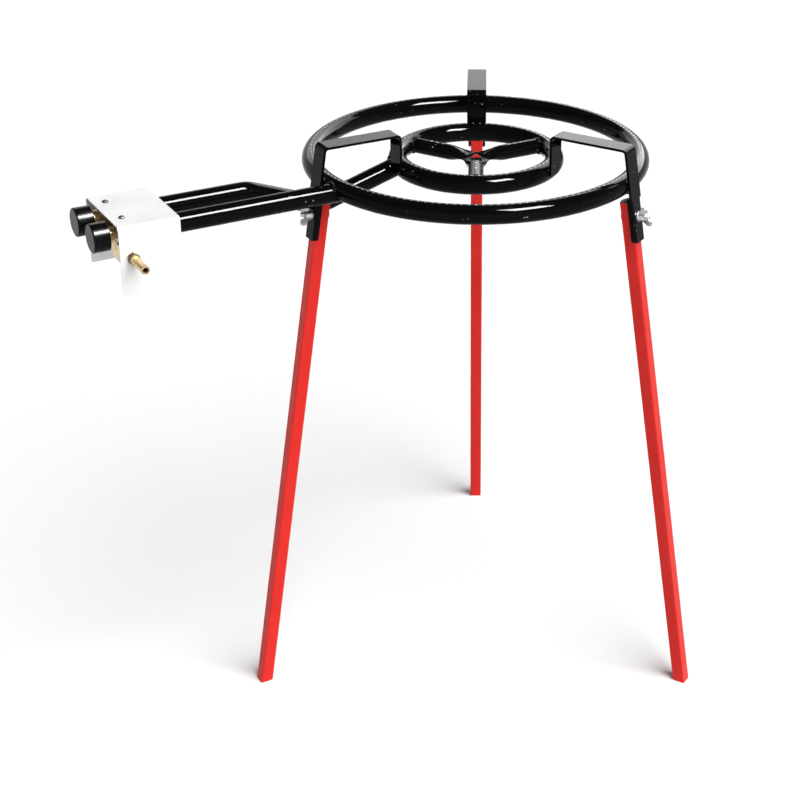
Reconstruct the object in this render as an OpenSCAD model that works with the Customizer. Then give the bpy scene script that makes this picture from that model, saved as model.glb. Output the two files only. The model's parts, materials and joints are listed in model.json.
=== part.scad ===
// Gas paella burner: two ring burners on their feed tubes, two taps under a sheet housing,
// three pan supports and three splayed legs that are held by wing nuts.
// X runs along the feed tubes from the knobs towards the rings, Z is up and the floor is at Z 0.
// The origin is on the floor, in the middle of the burner's length and width.

/* [Rings] */
// Overall diameter of the outer ring
outer_ring_d = 400; // [360:5:460]
// Overall diameter of the inner ring
inner_ring_d = 203; // [180:1:220]
// Outside diameter of the ring and feed tubes
burner_tube_d = 22; // [20:0.5:23]
// Wall of the rings, spokes and feed tubes
tube_wall = 1.5; // [1:0.1:2]
// Height of the outer ring's centre above the floor
ring_height = 627; // [450:1:800]
// How far the inner ring, feed tubes and taps sit below the outer ring
inner_drop = 3.5; // [2:0.5:6]
// Diameter of a gas port
port_d = 2.2; // [1.5:0.1:3]
// Spacing of the gas ports along the middle of a ring
port_pitch = 7.8; // [7:0.2:16]

/* [Spokes] */
// Outside diameter of a spoke tube
spoke_d = 18; // [14:0.5:19]
// Width of a spoke's flattened hub end
spoke_flat_w = 28; // [24:1:32]
// Thickness of a spoke's flattened hub end
spoke_flat_t = 6; // [4:0.5:8]
// Length over which a spoke goes from flat to round
spoke_flat_len = 28; // [20:1:34]
// Gas ports along a spoke
spoke_ports = 3; // [1:1:4]

/* [Feed tubes] */
// Distance between the two feed tubes' axes, and between the taps
feed_spacing = 51; // [50:0.5:60]
// Length of the feed tubes outside the outer ring
feed_len = 211; // [180:1:280]
// Clear gap between the outer ring and the tube that dips under it
dip_gap = 11; // [6:0.5:14]
// Middle radius of the inner feed tube's bends
feed_bend_r = 42; // [35:1:50]

/* [Pan supports] */
// Height of the pan seat above the outer ring's centre
seat_height = 44; // [36:1:60]
// Width of the support strip
strip_w = 23; // [20:0.5:26]
// Thickness of the support strip
strip_t = 3; // [2.5:0.5:4]
// Inside radius of the strip's two bends
strip_bend_r = 3; // [2:0.5:6]
// How far the strip's inner end reaches below the outer ring's centre
strip_inner_drop = 4; // [2:0.5:8]
// Cut corner at the strip's inner end
strip_bevel = 6; // [3:0.5:8]
// Distance from the ring's centre down to the channel tab's top
tab_top = 16; // [15:0.5:18]
// Length of the channel tab
tab_len = 50; // [44:1:64]
// Thickness of the tab's flanges
flange_t = 3; // [2:0.5:3.5]
// Corner radius of the tab's lower end
tab_corner_r = 4; // [2:0.5:6]
// How far the tab's flanges reach along the sides of the leg
flange_depth = 3.5; // [2.5:0.5:10]

/* [Legs] */
// Outward slope of the legs, in degrees
splay = 9.2; // [6:0.1:12]
// Side of the legs' square tube
leg_w = 15; // [13:0.5:16]
// Wall of the legs' tube
leg_wall = 1.5; // [1:0.1:2]
// Corner radius of the legs' tube
leg_corner_r = 1.8; // [1:0.1:2.5]
// Distance from the ring's centre down to a leg's top end
leg_top = 19.5; // [19:0.5:24]
// Thickness of the plug's cap in a leg's top end
plug_cap_t = 2.8; // [2:0.2:4]
// Depth of the plug in the leg
plug_depth = 8; // [5:1:9]

/* [Leg bolts] */
// Bolt diameter
bolt_d = 6; // [5:0.5:6.5]
// Diameter of the low domed head
bolt_head_d = 12; // [10:0.5:14]
// Height of the low domed head
bolt_head_h = 2.4; // [2:0.2:4]
// Distance from the ring's centre down to the bolt
bolt_drop = 37; // [34:1:44]
// Length of thread past the wing nut
bolt_spare = 5; // [2:0.5:8]
// Washer diameter
washer_d = 12; // [11:0.5:14]
// Washer thickness
washer_t = 1.6; // [1:0.2:2]

/* [Wing nuts] */
// Span over both wings
wing_span = 26; // [24:0.5:27]
// Thickness of a wing
wing_t = 2.4; // [1.6:0.2:3]
// Radius of a wing's round end
wing_r = 4.2; // [3.5:0.1:4.5]
// Height of the middle of a wing's round end
wing_h = 8.6; // [7.6:0.2:10]
// Diameter of the hub at its foot
wing_hub_d = 11; // [10:0.5:11.5]
// Height of the hub
wing_hub_h = 7; // [6:0.5:8]
// Turn of the wings at rest, in degrees
wing_turn = 24; // [0:1:180]

/* [Valve housing] */
// Length along the feed tubes
housing_len = 66; // [64:1:80]
// Width across both taps
housing_w = 102; // [94:1:110]
// Height of the side walls
housing_h = 75; // [60:1:90]
// Sheet thickness
sheet_t = 1.2; // [0.8:0.1:2]
// Outside radius of the bends
housing_bend_r = 5; // [3:0.5:8]
// Height of the top above the taps' axes
housing_rise = 16.5; // [15:0.5:20]
// Distance from the taps' middle to the housing's outer end
housing_overhang = 13; // [10:0.5:15]
// Diameter of the two cover screws
cover_screw_d = 4; // [3:0.5:4.5]
// Head diameter of the cover screws
cover_head_d = 7; // [6:0.5:8]
// Head height of the cover screws
cover_head_h = 2; // [1.5:0.1:3]

/* [Gas rail and bracket] */
// Side of the square gas rail
rail_w = 16; // [15:0.5:18]
// Distance from the taps' axes down to the rail's axis
rail_drop = 18.5; // [18.5:0.5:22]
// Diameter of the rail's gas bore
rail_bore_d = 7; // [5:0.5:8]
// Length of the rail past the further tap's axis
rail_end = 12; // [10:0.5:16]
// Thickness of the bracket's sheet
bracket_t = 3; // [2:0.5:4]
// Distance from the tubes' mouths back to the bracket's upright plate
bracket_setback = 3; // [2:0.5:8]
// Diameter of the rail screws
rail_screw_d = 5; // [4:0.5:6]
// Depth of the rail screws in the rail
rail_screw_depth = 4; // [2:0.5:4]

/* [Hose nozzle] */
// Diameter of the threaded shank
nozzle_shank_d = 10; // [9:0.5:11]
// Length of the threaded shank in the rail
nozzle_shank_len = 10; // [6:1:12]
// Width of the hexagon across its flats
nozzle_hex_w = 11; // [10.8:0.2:14]
// Length of the hexagon
nozzle_hex_len = 7; // [5:0.5:10]
// Diameter of the collar
nozzle_collar_d = 10.5; // [10:0.1:11.5]
// Length of the collar
nozzle_collar_len = 4; // [2:0.5:5]
// Outside diameter of the barrel that takes the hose
nozzle_barrel_d = 9.2; // [8:0.1:9.8]
// Length of the barrel
nozzle_barrel_len = 26; // [20:1:40]
// Bore of the nozzle
nozzle_bore_d = 5.6; // [4:0.1:6.5]

/* [Taps] */
// Distance from the tubes' mouths to the taps' middles
tap_setback = 20; // [19:0.5:24]
// Diameter of a tap's body
tap_d = 20; // [18:0.5:20.5]
// Length of the body towards the knob
tap_front = 8; // [8:0.5:9]
// Length of the body towards the feed tube
tap_back = 14; // [12:0.5:16]
// Diameter of the neck that stands on the rail
neck_d = 13; // [12:0.5:14]
// Diameter of the threaded spigot in the rail
spigot_d = 10; // [8:0.5:11]
// Length of the spigot
spigot_len = 6; // [4:0.5:7]
// Diameter of the boss under the housing's top
boss_d = 10; // [8:0.5:12]
// Gas hole through the spigot
inlet_d = 4; // [3:0.2:4.5]
// Wide diameter of the tapered plug
plug_d = 12.4; // [11.8:0.2:12.8]
// Narrow diameter of the tapered plug
plug_small_d = 10; // [9.6:0.2:10.6]
// Length of the plug behind the gas hole
plug_back = 6.5; // [5.5:0.5:7]
// Length of the plug in front of the gas hole
plug_front = 7; // [6.6:0.1:7.2]
// Diameter of the plug's gas holes
plug_port_d = 3.4; // [2.8:0.2:3.8]
// Diameter of the plug's low-flame hole
plug_low_d = 1.2; // [0.8:0.1:1.6]
// Width of the plug's slot for the stem
slot_w = 3; // [2.6:0.1:3.4]
// Depth of the plug's slot
slot_depth = 4.2; // [4:0.1:4.6]

/* [Tap bonnets] */
// Distance of a bonnet screw from the tap's axis
ear_offset = 13; // [12.6:0.2:14]
// Radius of a bonnet's ears
ear_r = 4.2; // [3.8:0.1:4.6]
// Thickness of the body's and bonnet's flanges
ear_t = 2; // [1.6:0.2:2.4]
// Diameter of the bonnet's dome
dome_d = 16; // [15:0.5:17]
// Length of the dome past the flange
dome_len = 5; // [4.6:0.2:5.6]
// Thickness of the dome's end wall
dome_wall = 2; // [1.6:0.2:2.2]
// Diameter of the space for the spring
spring_room_d = 12; // [11.6:0.2:12.6]
// Diameter of the bonnet screws
ear_screw_d = 3; // [2.4:0.2:3.2]
// Head diameter of the bonnet screws
ear_head_d = 5.4; // [5:0.2:6]
// Head height of the bonnet screws
ear_head_h = 1.8; // [1.4:0.2:2.2]
// Depth of the bonnet screws in the body
ear_screw_depth = 4; // [2:0.5:5]

/* [Stems and springs] */
// Diameter of a stem
stem_d = 6; // [5:0.2:6.6]
// Diameter of the stem's collar
collar_d = 11; // [10.4:0.2:11.4]
// Thickness of the stem's collar
collar_t = 1.4; // [1:0.1:1.6]
// Push travel of a knob
push_travel = 2.5; // [1.5:0.1:2.6]
// Depth of the stem's blade in the slot at rest
blade_depth = 1.4; // [1:0.1:1.5]
// Flat cut on the stem's knob end
stem_flat = 1; // [0.5:0.1:1.5]
// Middle diameter of the return spring
spring_d = 9.2; // [8.6:0.1:9.8]
// Wire of the return spring
spring_wire_d = 0.7; // [0.5:0.05:0.8]
// Turns of the return spring
spring_turns = 2.5; // [2:0.25:3]

/* [Jets] */
// Width of the jet's hexagon across its flats
jet_hex_w = 9; // [8:0.5:10]
// Length of the jet's hexagon
jet_hex_len = 4; // [3:0.5:4]
// Diameter of the jet's threaded shank
jet_shank_d = 7; // [6:0.5:8]
// Length of the jet's shank
jet_shank_len = 5; // [4:0.5:6]
// Diameter of the jet's nose
jet_nose_d = 6; // [5:0.5:7]
// Length of the jet's nose
jet_nose_len = 8; // [5:0.5:12]
// Gas way inside the jet
jet_way_d = 3; // [2:0.2:3.6]
// Gas hole at the jet's tip
jet_hole_d = 1.1; // [0.8:0.1:1.6]

/* [Knobs] */
// Knob diameter
knob_d = 31; // [28:0.5:34]
// Knob depth
knob_len = 17.5; // [12:0.5:22]
// Distance from the tap's middle to the knob's inner rim
knob_start = 17.4; // [16.6:0.1:22]
// Wall of the knob's skirt and end
knob_wall = 3; // [2:0.2:3.4]
// Diameter of the knob's hub
knob_hub_d = 12; // [10:0.5:14]
// How far the hub stops short of the rim
knob_hub_back = 3.5; // [2.5:0.5:5]
// Rounded edge of the knob's end
knob_edge_r = 1.6; // [0.8:0.1:2.4]

/* [Fits] */
// Gap at a weld
weld_gap = 0.1; // [0.05:0.05:0.2]
// Play of a leg between the tab's flanges
leg_play = 0.3; // [0.2:0.05:0.5]
// Play of a turning or sliding fit, all round
run_play = 0.06; // [0.03:0.01:0.1]
// Play of a screw or bolt in its clearance hole, all round
hole_play = 0.2; // [0.1:0.05:0.3]
// Gap between pieces that lie one behind the other
end_play = 0.1; // [0.05:0.05:0.15]

/* [Hidden] */

// Fineness of round shapes, and of the spokes' pressed ends
$fn = 64;
pressed_fn = 32;
// How far a cutting shape reaches past what it cuts
over = 1;
// How far the strip's straight post runs into its upper bend
seam = 0.002;

// Directions of the supports and legs, and of the spokes, about the rings' axis
gas_side_a = 180;
left_a = 60;
right_a = 300;
leg_angles = [gas_side_a, left_a, right_a];
spoke_far_a = 0;
spoke_left_a = 120;
spoke_right_a = 240;
spoke_angles = [spoke_far_a, spoke_left_a, spoke_right_a];

// Radii and levels of the rings, measured from the outer ring's centre
tube_r = burner_tube_d / 2;
bore_d = burner_tube_d - 2 * tube_wall;
outer_mid_r = outer_ring_d / 2 - tube_r;
inner_mid_r = inner_ring_d / 2 - tube_r;
feed_z = -inner_drop;
feed_y = feed_spacing / 2;
outer_tap_y = -feed_y;
inner_tap_y = feed_y;

// Distances from the rings' axis towards the knobs
mouth_u = outer_ring_d / 2 + feed_len;
tap_u = mouth_u + tap_setback;
knob_end = knob_start + knob_len;
reach_u = tap_u + knob_end;
outer_join_u = sqrt(outer_mid_r * outer_mid_r - feed_y * feed_y);
inner_join_u = sqrt(inner_mid_r * inner_mid_r - feed_y * feed_y);

// The rings' axis stands off the origin, which is in the middle of the overall length
ring_x = (reach_u - outer_ring_d / 2) / 2;

// Lengths that meet in another turned frame are kept to a thousandth
function fine(x) = round(x * 1000) / 1000;

// The inner feed tube goes down under the outer ring on a slope of 44 in 117 and up again on 7 in 24
dip_slope = atan(44 / 117);
rise_slope = atan(7 / 24);
dip_u = fine(outer_join_u);
dip_low_z = -burner_tube_d - dip_gap;
dip_run = fine((feed_z - dip_low_z - 2 * feed_bend_r * (1 - cos(dip_slope))) / sin(dip_slope));
dip_level_u = fine(dip_u + dip_run * cos(dip_slope) + 2 * feed_bend_r * sin(dip_slope));

// The support strip: X is outwards along the strip's slope and Z is up along the leg,
// from the middle of the outer ring's tube
web_x = tube_r + weld_gap;
strip_end_r = inner_ring_d / 2 + weld_gap;
bend_z = seat_height - strip_t - strip_bend_r;
post_bend_x = web_x - strip_bend_r;
post_bend_z = (bend_z - post_bend_x * sin(splay)) / cos(splay);
outer_bend_r = fine(outer_mid_r + post_bend_x * cos(splay) - post_bend_z * sin(splay));
inner_bend_r = strip_end_r + strip_t + strip_bend_r;
channel_w = leg_w + 2 * leg_play + 2 * flange_t;
leg_len = (ring_height + outer_ring_d) / cos(splay);
leg_bore_w = leg_w - 2 * leg_wall;
hex_point = 2 / sqrt(3);

// Levels of the housing and rail, from the taps' axes
cover_in = housing_rise - sheet_t;
housing_bottom = housing_rise - housing_h;
rail_top = rail_drop - rail_w / 2;
rail_bottom = rail_drop + rail_w / 2;
housing_u = tap_u + housing_overhang;
wall_in_y = housing_w / 2 - sheet_t;

// Places along a tap, from its middle towards the knob
bonnet_start = tap_front;
dome_start = bonnet_start + ear_t;
dome_end = dome_start + dome_len;
room_end = dome_end - dome_wall;
collar_end = room_end - end_play;
collar_start = collar_end - collar_t;
spring_start = plug_front + end_play;
spring_end = collar_start - end_play;
blade_start = plug_front - blade_depth;
blade_end = plug_front + push_travel + end_play;
hub_start = knob_start + knob_hub_back;
stem_end = knob_end - knob_wall;

// Places

module at_rings() {
    translate([ring_x, 0, ring_height])
        children();
}

module at_post(angle) {
    rotate([0, 0, angle])
        translate([outer_mid_r, 0, 0])
            rotate([0, -splay, 0])
                children();
}

// A tap's Z runs towards its knob and its X runs up
module at_tap(y) {
    at_rings()
        translate([-tap_u, y, feed_z])
            rotate([0, -90, 0])
                children();
}

// A leg bolt's Z runs outwards from the inner face of the support strip
module at_bolt(angle) {
    at_rings()
        at_post(angle)
            translate([web_x, 0, -bolt_drop])
                rotate([0, 90, 0])
                    children();
}

// Shared shapes

module torus(mid_r, d) {
    rotate_extrude($fn = 128)
        translate([mid_r, 0])
            circle(d = d);
}

module rounded_square(w, r) {
    square([w - 2 * r, w], center = true);
    square([w, w - 2 * r], center = true);
    for (x = [-1, 1])
        for (y = [-1, 1])
            translate([x * (w / 2 - r), y * (w / 2 - r)])
                circle(r = r);
}

// Part of a flat ring between two angles less than half a turn apart
module ring_sector(r, t, from, to) {
    reach = 2 * (r + t);
    intersection() {
        difference() {
            circle(r = r + t);
            circle(r = r);
        }
        polygon([
            [0, 0],
            reach * [cos(from), sin(from)],
            reach * [cos((from + to) / 2), sin((from + to) / 2)],
            reach * [cos(to), sin(to)]
        ]);
    }
}

module hex_prism(w, h) {
    cylinder(d = w * hex_point, h = h, $fn = 6);
}

// Low round screw head with its shank below it
module screw(d, depth, head_d, head_h) {
    translate([0, 0, -depth])
        cylinder(d = d, h = depth + head_h / 2);
    cylinder(d1 = head_d, d2 = head_d * 0.7, h = head_h);
}

// Round bar along X that starts at the frame's origin
module bar(d, h) {
    rotate([0, 90, 0])
        cylinder(d = d, h = h);
}

// Everything ahead of the plane X = 0
module ahead(reach) {
    translate([0, -reach, -reach])
        cube(2 * reach);
}

// Bend about the frame's origin between two planes turned about Z
module bend(d, r, from, to) {
    reach = r + d;
    intersection() {
        torus(r, d);
        rotate([0, 0, from])
            ahead(reach);
        rotate([0, 0, to])
            mirror([1, 0, 0])
                ahead(reach);
        translate([-reach, -2 * reach, -reach])
            cube([2 * reach, 2 * reach, 2 * reach]);
    }
}

// Burner rings, spokes and feed tubes

module ring(mid_r, ports) {
    difference() {
        rotate_extrude($fn = 128)
            translate([mid_r, 0])
                difference() {
                    circle(d = burner_tube_d);
                    circle(d = bore_d);
                }
        for (i = [0:ports - 1])
            rotate([0, 0, (i + 0.5) * 360 / ports])
                translate([mid_r, 0, 0])
                    rotate([0, 0, 90])
                        cylinder(d = port_d, h = burner_tube_d, $fn = 16);
        children();
    }
}

module outer_ring() {
    color("#151515")
    at_rings()
        ring(outer_mid_r, floor(2 * PI * outer_mid_r / port_pitch))
            translate([-outer_ring_d / 2, outer_tap_y, feed_z])
                rotate([0, 90, 0])
                    cylinder(d = bore_d - 2 * inner_drop, h = outer_ring_d / 2 - outer_join_u);
}

module inner_ring() {
    color("#151515")
    at_rings()
        translate([0, 0, feed_z])
            ring(inner_mid_r, floor(2 * PI * inner_mid_r / port_pitch)) {
                translate([-inner_ring_d / 2, inner_tap_y, 0])
                    rotate([0, 90, 0])
                        cylinder(d = bore_d - 2 * tube_wall, h = inner_ring_d / 2 - inner_join_u);
                for (a = spoke_angles)
                    rotate([0, 90, a])
                        cylinder(d = spoke_d - 2 * tube_wall, h = inner_mid_r);
            }
}

// The flat hub ends of the three spokes meet corner to corner
module spoke(angle) {
    hub_r = spoke_flat_w / 2 / tan(60) + weld_gap;
    round_r = hub_r + spoke_flat_len;
    color("#151515")
    at_rings()
        translate([0, 0, feed_z])
            rotate([0, 0, angle])
                difference() {
                    union() {
                        translate([round_r, 0, 0])
                            rotate([0, 90, 0])
                                cylinder(d = spoke_d, h = inner_mid_r - round_r);
                        hull($fn = pressed_fn) {
                            translate([round_r, 0, 0])
                                rotate([0, 90, 0])
                                    cylinder(d = spoke_d, h = over, $fn = pressed_fn);
                            for (y = [-1, 1])
                                translate([hub_r, y * (spoke_flat_w - spoke_flat_t) / 2, 0])
                                    rotate([0, 90, 0])
                                        cylinder(d = spoke_flat_t, h = over, $fn = pressed_fn);
                        }
                    }
                    translate([round_r + tube_wall, 0, 0])
                        rotate([0, 90, 0])
                            cylinder(d = spoke_d - 2 * tube_wall, h = inner_mid_r);
                    for (i = [1:spoke_ports])
                        translate([round_r + i * port_pitch, 0, 0])
                            cylinder(d = port_d, h = spoke_d, $fn = 16);
                    torus(inner_mid_r, burner_tube_d + 2 * weld_gap);
                }
}

module outer_feed_tube() {
    start_u = outer_join_u + tube_r / 2;
    color("#151515")
    at_rings()
        difference() {
            translate([-mouth_u, outer_tap_y, feed_z])
                rotate([0, 90, 0])
                    difference() {
                        cylinder(d = burner_tube_d, h = mouth_u - start_u);
                        translate([0, 0, -over])
                            cylinder(d = bore_d, h = mouth_u);
                    }
            torus(outer_mid_r, burner_tube_d + 2 * weld_gap);
        }
}

// Solid along the inner feed tube's route, drawn from the middle of its lowest bend
module inner_route(d, overrun) {
    r = feed_bend_r;
    translate([-dip_u, dip_low_z + r]) {
        bend(d, r, -dip_slope, rise_slope);
        rotate([0, 0, rise_slope])
            translate([0, -r])
                bar(d, dip_u);
        rotate([0, 0, -dip_slope]) {
            translate([-dip_run, -r])
                bar(d, dip_run);
            translate([-dip_run, -2 * r])
                mirror([0, 1, 0]) {
                    bend(d, r, -dip_slope, 0);
                    rotate([0, 0, -dip_slope])
                        translate([dip_level_u - mouth_u - overrun, -r])
                            bar(d, mouth_u - dip_level_u + overrun);
                }
        }
    }
}

module inner_feed_tube() {
    color("#151515")
    at_rings()
        difference() {
            translate([0, inner_tap_y, 0])
                rotate([90, 0, 0])
                    difference() {
                        inner_route(burner_tube_d, 0);
                        inner_route(bore_d, over);
                    }
            translate([0, 0, feed_z])
                torus(inner_mid_r, burner_tube_d + 2 * weld_gap);
            translate([-inner_join_u, -outer_ring_d, -outer_ring_d])
                cube(2 * outer_ring_d);
        }
}

// Pan supports

module strip_profile() {
    translate([strip_end_r, -strip_inner_drop])
        square([strip_t, bend_z + strip_inner_drop]);
    translate([inner_bend_r, bend_z])
        ring_sector(strip_bend_r, strip_t, 90, 180);
    translate([inner_bend_r, seat_height - strip_t])
        square([outer_bend_r - inner_bend_r, strip_t]);
    translate([outer_bend_r, bend_z])
        ring_sector(strip_bend_r, strip_t, splay, 90);
    translate([outer_mid_r, 0])
        rotate(splay)
            translate([web_x, -tab_top - over])
                square([strip_t, post_bend_z + tab_top + over + seam]);
}

// Channel with round outer corners that holds a leg from turning
module tab_profile() {
    difference() {
        translate([web_x - flange_depth, -channel_w / 2]) {
            square([flange_depth, channel_w]);
            translate([0, strip_t])
                square([flange_depth + strip_t, channel_w - 2 * strip_t]);
        }
        translate([web_x - flange_depth - over, -leg_w / 2 - leg_play])
            square([flange_depth + over, leg_w + 2 * leg_play]);
    }
    for (y = [-1, 1])
        intersection() {
            translate([web_x, y * (channel_w / 2 - strip_t)])
                circle(r = strip_t);
            translate([web_x, y * channel_w / 2 - strip_t])
                square([strip_t, 2 * strip_t]);
        }
}

// What the two round lower corners of the tab lose
module tab_corners() {
    corner = tab_corner_r + over;
    for (side = [0, 180])
        rotate([0, 0, side])
            translate([-2 * web_x, channel_w / 2 - tab_corner_r, -tab_top - tab_len + tab_corner_r])
                rotate([0, 90, 0])
                    difference() {
                        cube([corner, corner, 4 * web_x]);
                        translate([0, 0, -over])
                            cylinder(r = tab_corner_r, h = 4 * web_x + 2 * over);
                    }
}

module pan_support(angle) {
    bevel_w = strip_bevel * sqrt(2);
    color("#181818")
    at_rings()
        difference() {
            union() {
                rotate([0, 0, angle])
                    rotate([90, 0, 0])
                        linear_extrude(strip_w, center = true)
                            strip_profile();
                at_post(angle)
                    translate([0, 0, -tab_top - tab_len])
                        linear_extrude(tab_len)
                            tab_profile();
            }
            at_post(angle) {
                translate([web_x - over, 0, -bolt_drop])
                    rotate([0, 90, 0])
                        cylinder(d = bolt_d + 2 * hole_play, h = strip_t + 2 * over);
                tab_corners();
            }
            rotate([0, 0, angle])
                translate([strip_end_r + strip_t / 2, strip_w / 2, -strip_inner_drop])
                    rotate([45, 0, 0])
                        cube([strip_t + 2 * over, bevel_w, bevel_w], center = true);
        }
}

// Legs and their bolts

module leg(angle) {
    color("#c8201c")
    difference() {
        at_rings()
            at_post(angle)
                difference() {
                    translate([web_x - leg_w / 2, 0, -leg_len])
                        linear_extrude(leg_len - leg_top)
                            difference() {
                                rounded_square(leg_w, leg_corner_r);
                                square(leg_bore_w, center = true);
                            }
                    translate([web_x - leg_w - over, 0, -bolt_drop])
                        rotate([0, 90, 0])
                            cylinder(d = bolt_d + 2 * hole_play, h = leg_w + 2 * over);
                }
        below = 2 * outer_ring_d;
        translate([ring_x - below, -below, -below])
            cube([2 * below, 2 * below, below]);
    }
}

module leg_plugs() {
    dome_r = leg_w * 1.4;
    plug_w = leg_bore_w - 2 * run_play;
    color("#101010")
    for (a = leg_angles)
        at_rings()
            at_post(a)
                translate([web_x - leg_w / 2, 0, -leg_top]) {
                    intersection() {
                        linear_extrude(plug_cap_t)
                            rounded_square(leg_w, leg_corner_r);
                        translate([0, 0, plug_cap_t - dome_r])
                            sphere(r = dome_r);
                    }
                    translate([0, 0, -plug_depth])
                        linear_extrude(plug_depth)
                            square(plug_w, center = true);
                }
}

module leg_bolts() {
    thread_len = strip_t + washer_t + wing_hub_h + bolt_spare;
    color("#b9bcc0")
    for (a = leg_angles)
        at_bolt(a) {
            translate([0, 0, -leg_w])
                cylinder(d = bolt_d, h = leg_w + thread_len);
            translate([0, 0, -leg_w - bolt_head_h])
                cylinder(d1 = bolt_head_d * 0.6, d2 = bolt_head_d, h = bolt_head_h);
        }
}

module washer(angle) {
    color("#c4c7ca")
    at_bolt(angle)
        translate([0, 0, strip_t])
            difference() {
                cylinder(d = washer_d, h = washer_t);
                translate([0, 0, -over])
                    cylinder(d = bolt_d + 2 * run_play, h = washer_t + 2 * over);
            }
}

module wing_profile() {
    ear_x = wing_span / 2 - wing_r;
    foot_r = wing_hub_d / 2;
    translate([ear_x, wing_h])
        circle(r = wing_r);
    polygon([
        [0, wing_t / 2],
        [foot_r, wing_t / 2],
        [ear_x + wing_r, wing_h],
        [ear_x, wing_h + wing_r],
        [ear_x - wing_r, wing_h],
        [0, wing_hub_h - wing_t / 2]
    ]);
}

module wing_nut(angle) {
    color("#c4c7ca")
    at_bolt(angle)
        translate([0, 0, strip_t + washer_t])
            rotate([0, 0, wing_turn])
                difference() {
                    union() {
                        cylinder(d1 = wing_hub_d, d2 = wing_hub_d - wing_t, h = wing_hub_h);
                        for (side = [0, 180])
                            rotate([90, 0, side])
                                linear_extrude(wing_t, center = true)
                                    wing_profile();
                    }
                    translate([0, 0, -over])
                        cylinder(d = bolt_d + 2 * run_play, h = wing_h + wing_r + 2 * over);
                }
}

// Valve housing, bracket, rail and nozzle

module housing_outline(w, r, bottom) {
    top = housing_rise - (housing_w - w) / 2;
    translate([-w / 2, bottom])
        square([w, top - r - bottom]);
    translate([-w / 2 + r, bottom])
        square([w - 2 * r, top - bottom]);
    for (x = [-1, 1])
        translate([x * (w / 2 - r), top - r])
            circle(r = r);
}

module valve_housing() {
    color("#f4f4f2")
    difference() {
        at_rings()
            translate([-housing_u, 0, feed_z])
                rotate([90, 0, 90])
                    linear_extrude(housing_len)
                        difference() {
                            housing_outline(housing_w, housing_bend_r, housing_bottom);
                            housing_outline(2 * wall_in_y, housing_bend_r - sheet_t, housing_bottom - over);
                        }
        for (y = [outer_tap_y, inner_tap_y])
            at_tap(y)
                translate([cover_in - over, 0, 0])
                    rotate([0, 90, 0])
                        cylinder(d = cover_screw_d + 2 * hole_play, h = sheet_t + 2 * over);
        at_tap(0)
            translate([-rail_drop, -wall_in_y + over, 0])
                rotate([90, 0, 0])
                    cylinder(d = nozzle_shank_d + 2 * hole_play, h = sheet_t + 2 * over);
    }
}

module housing_screws() {
    depth = sheet_t + (housing_rise - sheet_t - tap_d / 2);
    color("#2b2b2d")
    for (y = [outer_tap_y, inner_tap_y])
        at_tap(y)
            translate([housing_rise, 0, 0])
                rotate([0, 90, 0])
                    screw(cover_screw_d, depth, cover_head_d, cover_head_h);
}

module valve_bracket() {
    plate_w = 2 * (wall_in_y - leg_play);
    plate_u = mouth_u - bracket_setback;
    shelf_len = tap_u + rail_w / 2 - plate_u + bracket_t;
    color("#8d9093")
    difference() {
        at_rings()
            translate([-plate_u, 0, feed_z]) {
                rotate([90, 0, 90])
                    linear_extrude(bracket_t)
                        housing_outline(plate_w, housing_bend_r - sheet_t, -rail_bottom - bracket_t);
                translate([bracket_t - shelf_len, -plate_w / 2, -rail_bottom - bracket_t])
                    cube([shelf_len, plate_w, bracket_t]);
            }
        for (y = [outer_tap_y, inner_tap_y]) {
            at_tap(y)
                translate([0, 0, plate_u - tap_u - bracket_t - over])
                    cylinder(d = burner_tube_d + 2 * weld_gap, h = bracket_t + 2 * over);
            at_tap(y)
                translate([-rail_bottom - bracket_t - over, 0, 0])
                    rotate([0, 90, 0])
                        cylinder(d = rail_screw_d + 2 * hole_play, h = bracket_t + 2 * over);
        }
    }
}

module gas_rail() {
    rail_len = wall_in_y + inner_tap_y + rail_end;
    bore_len = wall_in_y + inner_tap_y;
    shank_hole = nozzle_shank_len + end_play + over;
    color("#b08d3c")
    difference() {
        at_tap(0)
            translate([-rail_drop, -wall_in_y, 0])
                rotate([-90, 0, 0])
                    difference() {
                        translate([-rail_w / 2, -rail_w / 2, 0])
                            cube([rail_w, rail_w, rail_len]);
                        translate([0, 0, -over])
                            cylinder(d = rail_bore_d, h = bore_len + over);
                        translate([0, 0, -over])
                            cylinder(d = nozzle_shank_d + 2 * run_play, h = shank_hole);
                    }
        for (y = [outer_tap_y, inner_tap_y])
            at_tap(y) {
                translate([-rail_top - spigot_len - end_play, 0, 0])
                    rotate([0, 90, 0])
                        cylinder(d = spigot_d + 2 * run_play, h = spigot_len + end_play + over);
                translate([-rail_bottom - over, 0, 0])
                    rotate([0, 90, 0])
                        cylinder(d = rail_screw_d + 2 * run_play, h = rail_screw_depth + end_play + over);
            }
    }
}

module rail_screws() {
    color("#b9bcc0")
    for (y = [outer_tap_y, inner_tap_y])
        at_tap(y)
            translate([-rail_bottom - bracket_t, 0, 0])
                rotate([0, -90, 0])
                    screw(rail_screw_d, bracket_t + rail_screw_depth, rail_screw_d * 1.8, rail_screw_d * 0.6);
}

module inlet_nozzle() {
    inner_end = sheet_t + nozzle_shank_len;
    body_len = nozzle_hex_len + nozzle_collar_len + nozzle_barrel_len;
    color("#c79a3b")
    at_tap(0)
        translate([-rail_drop, -housing_w / 2, 0])
            rotate([90, 0, 0])
                difference() {
                    union() {
                        translate([0, 0, -inner_end])
                            cylinder(d = nozzle_shank_d, h = inner_end);
                        hex_prism(nozzle_hex_w, nozzle_hex_len);
                        cylinder(d = nozzle_collar_d, h = nozzle_hex_len + nozzle_collar_len);
                        cylinder(d = nozzle_barrel_d, h = body_len);
                    }
                    translate([0, 0, -inner_end - over])
                        cylinder(d = nozzle_bore_d, h = inner_end + body_len + 2 * over);
                }
}

// Taps

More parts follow.
